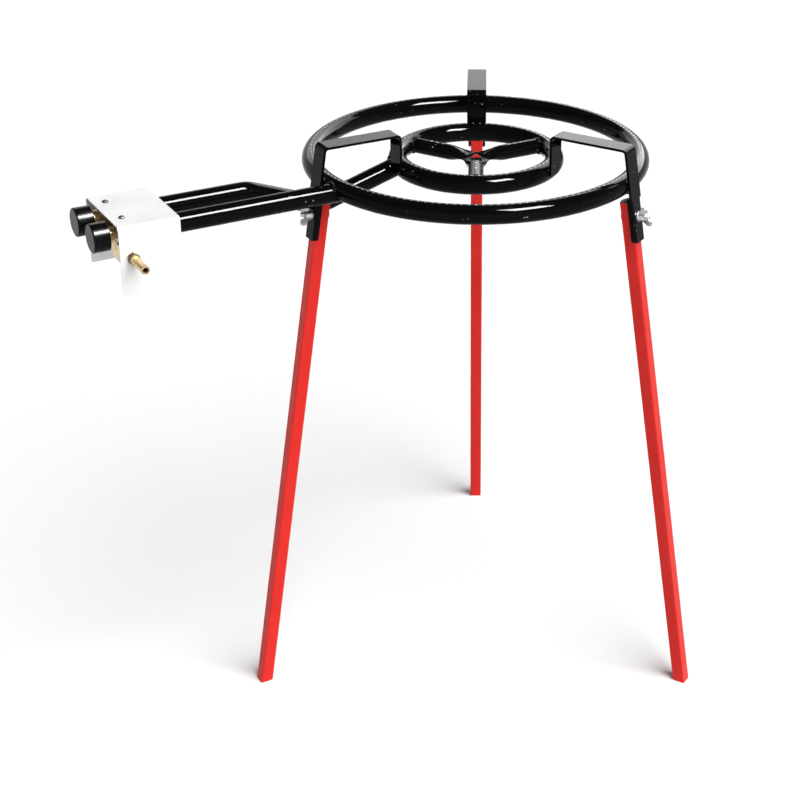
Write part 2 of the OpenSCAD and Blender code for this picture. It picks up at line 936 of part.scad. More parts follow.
module ear_outline() {
    circle(d = tap_d);
    square([2 * ear_r, 2 * ear_offset], center = true);
    for (y = [-ear_offset, ear_offset])
        translate([0, y])
            circle(r = ear_r);
}

module taper(play, from, to) {
    slope = (plug_d - plug_small_d) / 2 / (plug_front + plug_back);
    function r_at(z) = plug_small_d / 2 + slope * (z + plug_back) + play;
    translate([0, 0, from])
        cylinder(r1 = r_at(from), r2 = r_at(to), h = to - from);
}

module tap_body(y) {
    color("#b8923e")
    at_tap(y)
        difference() {
            union() {
                translate([0, 0, -tap_back])
                    cylinder(d = tap_d, h = tap_back + tap_front);
                translate([0, 0, tap_front - ear_t])
                    linear_extrude(ear_t)
                        ear_outline();
                rotate([0, 90, 0])
                    cylinder(d = boss_d, h = cover_in);
                translate([-rail_top, 0, 0])
                    rotate([0, 90, 0])
                        cylinder(d = neck_d, h = rail_top);
                translate([-rail_top - spigot_len, 0, 0])
                    rotate([0, 90, 0])
                        cylinder(d = spigot_d, h = spigot_len + over);
            }
            taper(run_play, -plug_back - end_play, tap_front + over);
            translate([0, 0, -tap_back - over])
                cylinder(d = plug_port_d, h = tap_back + over);
            translate([0, 0, -tap_back - over])
                cylinder(d = jet_shank_d + 2 * run_play, h = jet_shank_len + end_play + over);
            translate([-rail_top - spigot_len - over, 0, 0])
                rotate([0, 90, 0])
                    cylinder(d = inlet_d, h = rail_top + spigot_len + over);
            translate([tap_d / 2 - end_play, 0, 0])
                rotate([0, 90, 0])
                    cylinder(d = cover_screw_d + 2 * run_play, h = cover_in);
            for (side = [-ear_offset, ear_offset])
                translate([0, side, tap_front - ear_t - ear_screw_depth])
                    cylinder(d = ear_screw_d + 2 * run_play, h = ear_t + ear_screw_depth + over);
        }
}

module tap_plug(y) {
    color("#b8923e")
    at_tap(y)
        difference() {
            taper(0, -plug_back, plug_front);
            translate([0, 0, -plug_back - over])
                cylinder(d = plug_port_d, h = plug_back + over);
            rotate([-90, 0, 0])
                cylinder(d = plug_port_d, h = plug_d);
            rotate([0, 90, 0])
                cylinder(d = plug_low_d, h = plug_d);
            translate([-slot_w / 2, -plug_d, plug_front - slot_depth])
                cube([slot_w, 2 * plug_d, slot_depth + over]);
        }
}

// Return spring, one unbroken wire
spring_sides = 6;
spring_steps = 8;
spring_rings = ceil(spring_turns * spring_steps);
spring_rise = spring_end - spring_start - spring_wire_d;
function spring_point(i) =
    let (a = 360 * spring_turns * i / spring_rings, z = spring_start + spring_wire_d / 2)
    [spring_d / 2 * cos(a), spring_d / 2 * sin(a), z + spring_rise * i / spring_rings];
function wire_point(i, k) =
    let (a = 360 * spring_turns * i / spring_rings, b = 360 * k / spring_sides, c = spring_point(i))
    c + spring_wire_d / 2 * [cos(b) * cos(a), cos(b) * sin(a), sin(b)];
spring_gap = min([
    for (i = [0:spring_rings])
        for (j = [i + spring_steps - 1:spring_rings])
            norm(spring_point(i) - spring_point(j)) - spring_wire_d
]);
echo("Least gap between the spring's turns", spring_gap);

module tap_spring(y) {
    points = [for (i = [0:spring_rings]) for (k = [0:spring_sides - 1]) wire_point(i, k)];
    last = spring_rings * spring_sides;
    sides = [
        for (i = [0:spring_rings - 1])
            for (k = [0:spring_sides - 1])
                let (a = i * spring_sides + k, b = i * spring_sides + (k + 1) % spring_sides)
                each [[a, a + spring_sides, b], [b, a + spring_sides, b + spring_sides]]
    ];
    ends = [
        for (k = [1:spring_sides - 2])
            each [[0, k, k + 1], [last, last + k + 1, last + k]]
    ];
    color("#9da0a3")
    at_tap(y)
        polyhedron(points = points, faces = concat(sides, ends));
}

module tap_stem(y) {
    blade_t = slot_w - 2 * run_play;
    blade_w = stem_d - 2 * run_play;
    color("#b8923e")
    at_tap(y)
        difference() {
            union() {
                translate([-blade_t / 2, -blade_w / 2, blade_start])
                    cube([blade_t, blade_w, blade_end + over - blade_start]);
                translate([0, 0, blade_end])
                    cylinder(d = stem_d, h = stem_end - blade_end);
                translate([0, 0, collar_start])
                    cylinder(d = collar_d, h = collar_t);
            }
            translate([stem_d / 2 - stem_flat, -stem_d, hub_start])
                cube([stem_d, 2 * stem_d, knob_len]);
        }
}

module tap_bonnet(y) {
    color("#c79a3b")
    at_tap(y)
        difference() {
            union() {
                translate([0, 0, bonnet_start])
                    linear_extrude(ear_t)
                        ear_outline();
                translate([0, 0, bonnet_start])
                    cylinder(d = dome_d, h = dome_end - bonnet_start);
            }
            translate([0, 0, bonnet_start - over])
                cylinder(d = spring_room_d, h = room_end - bonnet_start + over);
            cylinder(d = stem_d + 2 * run_play, h = dome_end + over);
            for (side = [-ear_offset, ear_offset])
                translate([0, side, bonnet_start - over])
                    cylinder(d = ear_screw_d + 2 * hole_play, h = ear_t + 2 * over);
        }
}

module bonnet_screws() {
    color("#b9bcc0")
    for (y = [outer_tap_y, inner_tap_y])
        for (side = [-ear_offset, ear_offset])
            at_tap(y)
                translate([0, side, dome_start])
                    screw(ear_screw_d, ear_t + ear_screw_depth - end_play, ear_head_d, ear_head_h);
}

module jet(y) {
    nose_end = tap_back + jet_hex_len + jet_nose_len;
    color("#c79a3b")
    at_tap(y)
        mirror([0, 0, 1])
            difference() {
                union() {
                    translate([0, 0, tap_back - jet_shank_len])
                        cylinder(d = jet_shank_d, h = jet_shank_len + over);
                    translate([0, 0, tap_back])
                        hex_prism(jet_hex_w, jet_hex_len);
                    translate([0, 0, tap_back])
                        cylinder(d = jet_nose_d, h = jet_hex_len + jet_nose_len);
                }
                translate([0, 0, tap_back - jet_shank_len - over])
                    cylinder(d = jet_way_d, h = nose_end - tap_back + jet_shank_len);
                cylinder(d = jet_hole_d, h = nose_end + over);
            }
}

module knob_profile() {
    skirt_r = knob_d / 2;
    end_z = knob_end - knob_wall;
    translate([skirt_r - knob_wall, knob_start])
        square([knob_wall, knob_len - knob_edge_r]);
    translate([0, end_z])
        square([skirt_r - knob_edge_r, knob_wall]);
    translate([skirt_r - knob_edge_r, knob_end - knob_edge_r])
        circle(r = knob_edge_r);
    translate([0, hub_start])
        square([knob_hub_d / 2, end_z - hub_start]);
}

module knob(y) {
    color("#1a1a1b")
    at_tap(y)
        difference() {
            rotate_extrude()
                knob_profile();
            difference() {
                cylinder(d = stem_d + 2 * run_play, h = stem_end + end_play);
                translate([stem_d / 2 - stem_flat + run_play, -stem_d, hub_start])
                    cube([stem_d, 2 * stem_d, knob_len]);
            }
        }
}

outer_ring();
inner_ring();
spoke(spoke_far_a);  // spoke_far
spoke(spoke_left_a);  // spoke_left
spoke(spoke_right_a);  // spoke_right
outer_feed_tube();
inner_feed_tube();
pan_support(gas_side_a);  // support_gas_side
pan_support(left_a);  // support_left
pan_support(right_a);  // support_right
leg(gas_side_a);  // leg_gas_side
leg(left_a);  // leg_left
leg(right_a);  // leg_right
leg_plugs();
leg_bolts();
washer(gas_side_a);  // washer_gas_side
washer(left_a);  // washer_left
washer(right_a);  // washer_right
wing_nut(gas_side_a);  // wing_nut_gas_side
wing_nut(left_a);  // wing_nut_left
wing_nut(right_a);  // wing_nut_right
valve_housing();
housing_screws();
valve_bracket();
gas_rail();
rail_screws();
inlet_nozzle();
tap_body(outer_tap_y);  // outer_tap_body
tap_body(inner_tap_y);  // inner_tap_body
tap_plug(outer_tap_y);  // outer_tap_plug
tap_plug(inner_tap_y);  // inner_tap_plug
tap_spring(outer_tap_y);  // outer_tap_spring
tap_spring(inner_tap_y);  // inner_tap_spring
tap_stem(outer_tap_y);  // outer_tap_stem
tap_stem(inner_tap_y);  // inner_tap_stem
tap_bonnet(outer_tap_y);  // outer_tap_bonnet
tap_bonnet(inner_tap_y);  // inner_tap_bonnet
bonnet_screws();
jet(outer_tap_y);  // outer_jet
jet(inner_tap_y);  // inner_jet
knob(outer_tap_y);  // outer_knob
knob(inner_tap_y);  // inner_knob
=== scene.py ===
"""Gas paella burner: finishes, eased metal, welds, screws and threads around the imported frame.

Metres, Z up. X runs along the feed tubes from the knobs towards the rings.
"""

import json
import math
import random

import bmesh
import bpy
from mathutils import Matrix, Vector


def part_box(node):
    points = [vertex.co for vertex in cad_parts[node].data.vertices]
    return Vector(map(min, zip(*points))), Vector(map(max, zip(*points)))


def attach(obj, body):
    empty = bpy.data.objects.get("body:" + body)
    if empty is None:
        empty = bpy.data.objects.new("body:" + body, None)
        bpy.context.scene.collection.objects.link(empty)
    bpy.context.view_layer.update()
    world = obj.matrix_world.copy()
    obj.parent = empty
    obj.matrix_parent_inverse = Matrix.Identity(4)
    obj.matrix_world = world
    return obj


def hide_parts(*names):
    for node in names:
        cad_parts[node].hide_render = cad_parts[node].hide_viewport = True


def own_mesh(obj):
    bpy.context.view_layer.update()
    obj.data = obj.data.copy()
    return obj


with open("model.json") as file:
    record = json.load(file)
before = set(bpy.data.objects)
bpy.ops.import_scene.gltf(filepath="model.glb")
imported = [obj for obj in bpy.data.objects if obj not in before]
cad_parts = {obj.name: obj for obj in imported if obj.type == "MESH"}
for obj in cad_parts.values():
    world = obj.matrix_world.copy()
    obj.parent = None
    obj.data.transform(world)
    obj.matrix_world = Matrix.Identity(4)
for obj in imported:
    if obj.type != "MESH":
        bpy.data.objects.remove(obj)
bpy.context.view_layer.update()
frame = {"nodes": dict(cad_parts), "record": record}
scene = bpy.context.scene
rng = random.Random(7)

MM = 0.001
FIXED = "burner"
UP = Vector((0, 0, 1))

# Sizes that the frame gives
outer_lo, outer_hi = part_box("outer_ring")
inner_lo, inner_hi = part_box("inner_ring")
tube_lo, tube_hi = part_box("outer_feed_tube")
TUBE_R = (tube_hi.y - tube_lo.y) / 2
RINGS = (outer_lo + outer_hi) / 2
OUTER_MID_R = (outer_hi.y - outer_lo.y) / 2 - TUBE_R
INNER_MID_R = (inner_hi.y - inner_lo.y) / 2 - TUBE_R
RINGS.z = outer_lo.z + TUBE_R
INNER_DROP = outer_lo.z - inner_lo.z
INNER_CENTRE = RINGS - UP * INNER_DROP
MOUTH_U = RINGS.x - tube_lo.x
FEED_Y = -(tube_lo.y + tube_hi.y) / 2
HOUSING_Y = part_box("valve_housing")[0].y

# Tubes and ports, as in the frame
TUBE_WALL = 1.5 * MM
PORT_R = 1.1 * MM
PORT_RIM = 0.5 * MM
PORT_PITCH = 7.8 * MM
PORT_DEPTH = 2 * MM
SPOKE_R = 9 * MM
SPOKE_FLAT_W = 28 * MM
SPOKE_FLAT_T = 6 * MM
SPOKE_FLAT_LEN = 28 * MM
SPOKE_END_EASE = 1.2 * MM
SPOKE_SUNK = 0.9
SPOKE_PORTS = 3
SPOKE_ANGLES = {"spoke_far": 0, "spoke_left": 120, "spoke_right": 240}
DIP_GAP = 11 * MM
FEED_BEND_R = 42 * MM
FEED_BORE = 30 * MM
OUTER_JOIN_BACK = 3 * MM
INNER_JOIN_BACK = 2 * MM
DIP_SLOPE = math.atan2(44, 117)
RISE_SLOPE = math.atan2(7, 24)

# Supports, legs and bolts, as in the frame
POST_ANGLES = {"gas_side": 180, "left": 60, "right": 300}
STRIP_W = 23 * MM
STRIP_T = 3 * MM
SPLAY = math.radians(9.2)
LEG_W = 15 * MM
WASHER_T = 1.6 * MM
NUT_HUB_H = 7 * MM
BOLT_DROP = 37 * MM
BOLT_R = 3 * MM
BOLT_HEAD_R = 6 * MM
BOLT_HEAD_H = 2.4 * MM
BOLT_SPARE = 5 * MM
BOLT_CORE_R = 2.4 * MM
BOLT_TIP_R = 2.1 * MM
BOLT_CHAMFER = 0.4 * MM
THREAD_PITCH = 1 * MM
THREAD_DEPTH = 0.55 * THREAD_PITCH
THREAD_INSET = 0.5 * MM
THREAD_SHORT = 2 * MM

# Weld drops: how large they are and where they lie
WELD_GAP = 0.1 * MM
WEB_X = TUBE_R + WELD_GAP
POST_WELD_R = 1.9 * MM
POST_WELD_Z = 6 * MM
POST_WELD_SUNK = 1.2 * MM
FOOT_WELD_R = 1.7 * MM
FOOT_WELD_Z = 5.5 * MM
FOOT_WELD_SUNK = 1.0 * MM
FEED_WELD_R = 1.9 * MM
FEED_WELD_OUT = 0.4 * MM
SPOKE_WELD_R = 1.6 * MM
HUB_WELD_R = 1.8 * MM
HUB_WELD_SUNK = 0.5 * MM
STRIP_DROPS = 10
FEED_DROPS = 26
SPOKE_DROPS = 22

# Rounding of sharp edges
STRIP_EASE = 0.6 * MM
LEG_EASE = 0.3 * MM
WASHER_EASE = 0.25 * MM
NUT_EASE = 0.5 * MM
PLUG_EASE = 0.5 * MM
SHEET_EASE = 0.3 * MM
NOZZLE_EASE = 0.35 * MM
KNOB_EASE = 0.35 * MM
BONNET_EASE = 0.3 * MM
RAIL_EASE = 0.4 * MM

# Cross-headed screws, in shares of the head's radius and height
CROSS_CELLS = 5
CROSS_SPAN = 0.45
CROSS_DEPTH = 0.6
HEAD_DOME = ((0.72, 0.10), (0.90, 0.35), (1.0, 0.75), (1.0, 1.0))

# Where the nozzle's hexagon lies along the hose axis, darkened there as painted shade
HEX_END_Y = HOUSING_Y - 7 * MM
HEX_END_FADE = 1.5 * MM
HEX_WALL_FADE = 0.5 * MM

# Fineness of the modelled pieces
TUBE_SIDES = 48
SPOKE_SIDES = 32
BOLT_SIDES = 24
BEND_STEPS = 14
PRESS_STEPS = 12
DOME_STEPS = 6
THREAD_STEPS = 20
MERGE = 0.002 * MM
HAIR = 0.001 * MM

# Floor, room and camera
FLOOR_R = 14
FLOOR_DROP = 0.2 * MM
ROOM_WHITE_TO = 0.33
ROOM_DIM_FROM = 0.43
ROOM_DIM = 0.12
ROOM_ON_MATT = 0.5
CAMERA_PLACE = RINGS + Vector((-0.9352, -1.6363, 0.6693))
CAMERA_HEADING = math.radians(31.47)
CAMERA_PITCH = math.radians(24.27)
CAMERA_ROLL = math.radians(0.94)
CAMERA_LENS = 77.64
CAMERA_SHIFT_X = -0.1534
CAMERA_SHIFT_Y = -0.1283


# Shader graphs


class Socket:
    """A shader socket that takes part in arithmetic."""

    def __init__(self, graph, socket):
        self.graph = graph
        self.socket = socket

    def maths(self, operation, *values):
        return self.graph.node("ShaderNodeMath", {"operation": operation}, dict(enumerate(values)))

    def __add__(self, other):
        return self.maths("ADD", self, other)

    def __radd__(self, other):
        return self.maths("ADD", other, self)

    def __sub__(self, other):
        return self.maths("SUBTRACT", self, other)

    def __rsub__(self, other):
        return self.maths("SUBTRACT", other, self)

    def __mul__(self, other):
        return self.maths("MULTIPLY", self, other)

    def __rmul__(self, other):
        return self.maths("MULTIPLY", other, self)

    def either(self, other):
        """The larger of two values, so 1 where one of two flags is."""
        return self.maths("MAXIMUM", self, other)

    def above(self, low, high):
        """0 below low, 1 above high and smooth between."""
        return self.graph.node(
            "ShaderNodeMapRange", {"interpolation_type": "SMOOTHSTEP"}, {"Value": self, 1: low, 2: high}
        )


class Graph:
    """A shader tree that nodes are added to."""

    def __init__(self, tree):
        self.tree = tree

    def node(self, kind, settings=None, inputs=None, output=0):
        """Adds a node: its settings first, then the values or links of its sockets."""
        made = self.tree.nodes.new(kind)
        for key, value in (settings or {}).items():
            if key == "stops":
                self.set_stops(made.color_ramp, value)
            else:
                setattr(made, key, value)
        for key, value in (inputs or {}).items():
            self.feed(made.inputs[key], value)
        return Socket(self, made.outputs[output])

    @staticmethod
    def set_stops(ramp, stops):
        """Places a ramp's two stops, each a position and a grey."""
        for element, (at, grey) in zip(ramp.elements, stops):
            element.position = at
            element.color = (grey, grey, grey, 1)

    def feed(self, target, value):
        if isinstance(value, Socket):
            self.tree.links.new(value.socket, target)
        else:
            target.default_value = value


class Finish(Graph):
    """One procedural material: fixed shader values first, then what varies over the surface."""

    def __init__(self, name, **fixed):
        self.material = bpy.data.materials.new(name)
        self.material.use_nodes = True
        super().__init__(self.material.node_tree)
        self.shader = self.tree.nodes["Principled BSDF"]
        for socket, value in fixed.items():
            self.shader.inputs[socket.replace("_", " ")].default_value = value
        self.place = self.node("ShaderNodeTexCoord", output="Object")

    def stretched(self, x, y, z):
        return self.node("ShaderNodeMapping", inputs={"Vector": self.place, "Scale": (x, y, z)})

    def noise(self, scale, detail=3, roughness=0.5, where=None):
        inputs = {"Vector": where or self.place, "Scale": scale, "Detail": detail, "Roughness": roughness}
        return self.node("ShaderNodeTexNoise", inputs=inputs)

    def cells(self, scale, output="Distance"):
        return self.node("ShaderNodeTexVoronoi", inputs={"Vector": self.place, "Scale": scale}, output=output)

    def mixed(self, factor, low, high):
        low, high = (c if isinstance(c, Socket) else (*c, 1) for c in (low, high))
        return self.node("ShaderNodeMix", {"data_type": "RGBA"}, {0: factor, 6: low, 7: high}, output=2)

    def colour(self, value):
        self.feed(self.shader.inputs["Base Color"], value)

    def roughness(self, value):
        self.feed(self.shader.inputs["Roughness"], value)

    def coat(self, value):
        self.feed(self.shader.inputs["Coat Weight"], value)

    def bump(self, height, distance):
        inputs = {"Height": height, "Distance": distance, "Strength": 1.0}
        self.feed(self.shader.inputs["Normal"], self.node("ShaderNodeBump", inputs=inputs, output="Normal"))


# Finishes


def enamel_finish():
    """Dipped black enamel: orange peel, faint runs, and specks of dust caught in the coat."""
    enamel = Finish("black_enamel", IOR=1.5, Specular_IOR_Level=0.04)
    peel = enamel.noise(420, 2)
    runs = enamel.noise(38, 3)
    dust = 1 - enamel.cells(130).above(0.05, 0.17)
    sparse = enamel.noise(24, 2).above(0.54, 0.66)
    caught = dust * sparse
    enamel.colour(enamel.mixed(caught, (0.0025, 0.0025, 0.003), (0.30, 0.30, 0.30)))
    enamel.roughness(0.025 + runs * 0.04 + caught * 0.3)
    enamel.bump(peel * 0.3 + runs * 1.2 + caught * 0.8, 0.09 * MM)
    return enamel.material


def leg_paint_finish():
    """Glossy red paint with a soft orange peel and a little fading."""
    paint = Finish("red_paint", Coat_Roughness=0.2, IOR=1.5, Specular_IOR_Level=0.1)
    peel = paint.noise(380, 2)
    tone = paint.noise(14, 4)
    paint.colour(paint.mixed(tone, (0.54, 0.013, 0.010), (0.62, 0.020, 0.014)))
    paint.roughness(0.34 + tone * 0.12)
    paint.coat(0.04 + tone * 0.06)
    paint.bump(peel * 0.5 + tone * 0.8, 0.08 * MM)
    return paint.material


def housing_finish():
    """White stoved paint on sheet, with fine grain and a few rubbed patches."""
    paint = Finish("white_enamel", IOR=1.5, Specular_IOR_Level=0.25)
    grain = paint.noise(900, 2)
    rubbed = paint.noise(30, 4)
    paint.colour(paint.mixed(rubbed.above(0.35, 0.75), (0.73, 0.73, 0.725), (0.68, 0.68, 0.67)))
    paint.roughness(0.30 + rubbed * 0.18)
    paint.bump(grain * 0.5 + rubbed * 0.6, 0.05 * MM)
    return paint.material


def brass_finish():
    """Turned brass: fine tool rings across the hose axis, tarnish in patches, and painted shade on the
    nozzle's hexagon.
    """
    brass = Finish("brass", Metallic=1.0)
    rings = brass.noise(1, 2, where=brass.stretched(60, 2600, 60))
    tarnish = brass.noise(120, 4)
    along = brass.node("ShaderNodeSeparateXYZ", inputs={"Vector": brass.place}, output="Y")
    past_end = along.above(HEX_END_Y - HEX_END_FADE, HEX_END_Y)
    # Painted shade: the nozzle's hexagon is mixed towards near black, unevenly with the tarnish
    hex_painted_shade = past_end * (1 - along.above(HOUSING_Y - HEX_WALL_FADE, HOUSING_Y))
    bright = brass.mixed(tarnish.above(0.48, 0.72), (0.66, 0.49, 0.26), (0.24, 0.15, 0.06))
    brass.colour(brass.mixed(hex_painted_shade * (0.55 + tarnish * 0.6), bright, (0.045, 0.030, 0.014)))
    brass.roughness(0.16 + rings * 0.12 + tarnish * 0.14)
    brass.bump(rings * 0.6 + tarnish * 0.6, 0.05 * MM)
    return brass.material


def zinc_finish(name, light, dark, rough):
    """Zinc plate with a mottled passivation."""
    zinc = Finish(name, Metallic=1.0)
    mottle = zinc.noise(260, 4, 0.6)
    grain = zinc.noise(1500, 2)
    zinc.colour(zinc.mixed(mottle.above(0.3, 0.7), light, dark))
    zinc.roughness(rough + mottle * 0.16)
    zinc.bump(mottle * 0.9 + grain * 0.3, 0.06 * MM)
    return zinc.material


def bracket_finish():
    """Galvanised sheet with a spangle."""
    sheet = Finish("bare_steel", Metallic=1.0)
    tone = sheet.node("ShaderNodeSeparateColor", inputs={"Color": sheet.cells(160, "Color")})
    sheet.colour(sheet.mixed(tone, (0.42, 0.43, 0.44), (0.60, 0.61, 0.62)))
    sheet.roughness(0.30 + tone * 0.2)
    sheet.bump(sheet.noise(700, 2), 0.04 * MM)
    return sheet.material


def moulded_finish(name, tone, rough, gloss):
    """Moulded black plastic with a fine spark grain and handling marks."""
    plastic = Finish(name, IOR=1.5, Specular_IOR_Level=gloss)
    grain = plastic.noise(1800, 2)
    handled = plastic.noise(90, 4)
    low, high = (tuple(Vector((1, 1, 1.04)) * t) for t in (tone, tone * 1.8))
    plastic.colour(plastic.mixed(handled.above(0.4, 0.8), low, high))
    plastic.roughness(rough + handled * 0.14)
    plastic.bump(grain * 0.5 + handled * 0.4, 0.05 * MM)
    return plastic.material


def port_finish():
    """Drilled port walls, bare and a little scorched."""
    port = Finish("port_edge", Metallic=0.6)
    scorch = port.noise(500, 3)
    port.colour(port.mixed(scorch, (0.66, 0.65, 0.63), (0.34, 0.33, 0.32)))
    port.roughness(0.42 + scorch * 0.2)
    return port.material


def port_shade_finish():
    """Painted shade for the sunk bottom of a gas port, dark as the tube's hollow behind it."""
    port_shade = Finish("port_inside", Specular_IOR_Level=0.1)
    flecks = port_shade.noise(900, 2)
    port_shade.colour(port_shade.mixed(flecks, (0.002, 0.002, 0.002), (0.012, 0.011, 0.010)))
    port_shade.roughness(0.8 + flecks * 0.1)
    return port_shade.material


DARK_SCREW = zinc_finish("dark_screw", (0.075, 0.075, 0.08), (0.03, 0.03, 0.033), rough=0.34)
PORT_EDGE = port_finish()
# Painted shade: the near-black bottoms of the gas ports
PORT_INSIDE = port_shade_finish()
SLOT_FINISH = {
    "black_enamel": enamel_finish(),
    "red_paint": leg_paint_finish(),
    "white_enamel": housing_finish(),
    "brass": brass_finish(),
    "zinc_plate": zinc_finish("zinc_plate", (0.62, 0.63, 0.64), (0.42, 0.43, 0.45), rough=0.24),
    "spring_wire": zinc_finish("spring_wire", (0.50, 0.50, 0.51), (0.36, 0.36, 0.37), rough=0.30),
    "dark_screw": DARK_SCREW,
    "bare_steel": bracket_finish(),
    "knob_plastic": moulded_finish("knob_plastic", tone=0.0015, rough=0.17, gloss=0.07),
    "plug_plastic": moulded_finish("plug_plastic", tone=0.008, rough=0.42, gloss=0.3),
}
NODE_SLOT = {row["node"]: row["material_slot"] for row in frame["record"]["subparts"]}
NODE_BODY = {node: body for body, nodes in frame["record"]["behaviour"]["bodies"].items() for node in nodes}


# Making pieces


def piece(name, bm, body, slot, extra=(), sharp=32, weighted=False):
    """Finishes a mesh as a piece of the burner; edges over the sharp angle stay crisp."""
    mesh = bpy.data.meshes.new(name)
    bm.to_mesh(mesh)
    bm.free()
    for finish in (SLOT_FINISH[slot], *extra):
        mesh.materials.append(finish)
    mesh.shade_smooth()
    mesh.set_sharp_from_angle(angle=math.radians(sharp))
    made = bpy.data.objects.new(name, mesh)
    scene.collection.objects.link(made)
    if weighted:
        flat = made.modifiers.new("even_faces", "WEIGHTED_NORMAL")
        flat.keep_sharp = True
    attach(made, body)
    return made


def stand_in(node, bm, **options):
    """Finishes a mesh as the piece that stands for a CAD node."""
    made = piece(node + "_piece", bm, NODE_BODY[node], NODE_SLOT[node], **options)
    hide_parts(node)
    return made


def merged_copy(node):
    """A CAD node's shape with its loose triangles joined."""
    bm = bmesh.new()
    bm.from_mesh(frame["nodes"][node].data)
    bmesh.ops.remove_doubles(bm, verts=bm.verts, dist=MERGE)
    return bm


def round_over(bm, edges, width, segments):
    bmesh.ops.bevel(
        bm, geom=edges, offset=width, segments=segments, profile=0.5, material=-1, affect="EDGES",
        clamp_overlap=True,
    )


def eased(node, width, segments=2):
    """Stands for a CAD node with a copy whose sharp edges are rounded over."""
    flat, corner = math.radians(0.4), math.radians(30)
    bm = merged_copy(node)
    bmesh.ops.dissolve_limit(bm, angle_limit=flat, verts=bm.verts, edges=bm.edges)
    corners = [e for e in bm.edges if len(e.link_faces) == 2 and e.calc_face_angle() > corner]
    round_over(bm, corners, width, segments)
    stand_in(node, bm, weighted=True)


def put(bm, verts, matrix):
    bmesh.ops.transform(bm, matrix=matrix, verts=verts)


def about_z(angle):
    """Turn about Z by degrees."""
    return Matrix.Rotation(math.radians(angle), 4, "Z")


def join_into(bm, one):
    """Adds a finished shape to another and frees it."""
    carrier = bpy.data.meshes.new("carrier")
    one.to_mesh(carrier)
    one.free()
    bm.from_mesh(carrier)
    bpy.data.meshes.remove(carrier)


def lathe(bm, profile, steps):
    """Turns a profile of (radius, height) pairs about Z; a radius of 0 closes an end."""
    verts = [bm.verts.new((r, 0, z)) for r, z in profile]
    edges = [bm.edges.new(pair) for pair in zip(verts, verts[1:])]
    bmesh.ops.spin(
        bm, geom=verts + edges, cent=(0, 0, 0), axis=UP, angle=math.tau, steps=steps, use_merge=True
    )


def loop_edges(geom):
    return [g for g in geom if isinstance(g, bmesh.types.BMEdge)]


def loop_verts(geom):
    return [g for g in geom if isinstance(g, bmesh.types.BMVert)]


def tube_start(bm, radius, sides, matrix):
    """Open round loop, facing along X of the given frame."""
    verts = bmesh.ops.create_circle(bm, segments=sides, radius=radius)["verts"]
    put(bm, verts, matrix @ Matrix.Rotation(math.pi / 2, 4, "Y"))
    return list({e for v in verts for e in v.link_edges})


def run_on(bm, edges, step):
    """Straight length of tube from an open loop."""
    new = bmesh.ops.extrude_edge_only(bm, edges=edges)["geom"]
    bmesh.ops.translate(bm, verts=loop_verts(new), vec=step)
    return loop_edges(new)


def bend_on(bm, edges, centre, axis, angle):
    """Bent length of tube from an open loop."""
    turned = bmesh.ops.spin(
        bm, geom=edges, cent=centre, axis=axis, angle=angle, steps=BEND_STEPS, use_merge=False
    )
    return loop_edges(turned["geom_last"])


def cap_wall(bm, edges, wall, inwards):
    """Turns an open end into a tube's cut end with a wall and a short bore."""
    face = bmesh.ops.contextual_create(bm, geom=edges)["faces"]
    bmesh.ops.inset_region(bm, faces=face, thickness=wall)
    bore = bmesh.ops.extrude_face_region(bm, geom=face)["geom"]
    bmesh.ops.translate(bm, verts=loop_verts(bore), vec=inwards)
    bmesh.ops.delete(bm, geom=face, context="FACES")


def drill_ports(bm, verts):
    """Opens a round port with a bare rim at each of these vertices; its sunk bottom is painted dark as shade.
    """
    opened = bmesh.ops.bevel(
        bm, geom=verts, offset=PORT_R + PORT_RIM, segments=3, profile=0.5, material=-1, affect="VERTICES",
        clamp_overlap=True,
    )["faces"]
    rims = bmesh.ops.inset_region(bm, faces=opened, thickness=PORT_RIM, use_even_offset=True)["faces"]
    sunk = bmesh.ops.extrude_face_region(bm, geom=opened)["geom"]
    bmesh.ops.translate(bm, verts=loop_verts(sunk), vec=-UP * PORT_DEPTH)
    bottoms = [g for g in sunk if isinstance(g, bmesh.types.BMFace)]
    walls = {f for b in bottoms for e in b.edges for f in e.link_faces} - set(bottoms)
    for face in list(rims) + list(walls):
        face.material_index = 1
    for face in bottoms:
        face.material_index = 2
    bmesh.ops.delete(bm, geom=[f for f in opened if f.is_valid], context="FACES")


# Rings, spokes and feed tubes


def burner_ring(node, mid_r, centre):
    """Ring of tube with a port at every second step of its crest."""
    ports = math.floor(math.tau * mid_r / PORT_PITCH)
    bm = bmesh.new()
    section = bmesh.ops.create_circle(bm, segments=TUBE_SIDES, radius=TUBE_R)["verts"]
    put(bm, section, Matrix.Translation((mid_r, 0, 0)) @ Matrix.Rotation(math.pi / 2, 4, "X"))
    bmesh.ops.spin(
        bm, geom=bm.verts[:] + bm.edges[:], cent=(0, 0, 0), axis=UP, angle=math.tau,
        steps=2 * ports, use_merge=True,
    )
    bmesh.ops.recalc_face_normals(bm, faces=bm.faces)
    crest = [v for v in bm.verts if v.co.z > TUBE_R - 0.1 * HAIR]
    drilled = [v for v in crest if round(math.atan2(v.co.y, v.co.x) * ports / math.pi) % 2]
    drill_ports(bm, drilled)
    put(bm, bm.verts, Matrix.Translation(centre))
    stand_in(node, bm, extra=(PORT_EDGE, PORT_INSIDE), sharp=40)


def spoke_stations(hub, reach):
    """Places along a spoke, each with how far the pressed flat has become round again."""
    pressed = [(hub + SPOKE_FLAT_LEN * i / PRESS_STEPS, i / PRESS_STEPS) for i in range(PRESS_STEPS + 1)]
    ported = [(hub + SPOKE_FLAT_LEN + i * PORT_PITCH, 1.0) for i in range(1, SPOKE_PORTS + 1)]
    return pressed + ported + [(reach, 1.0)]


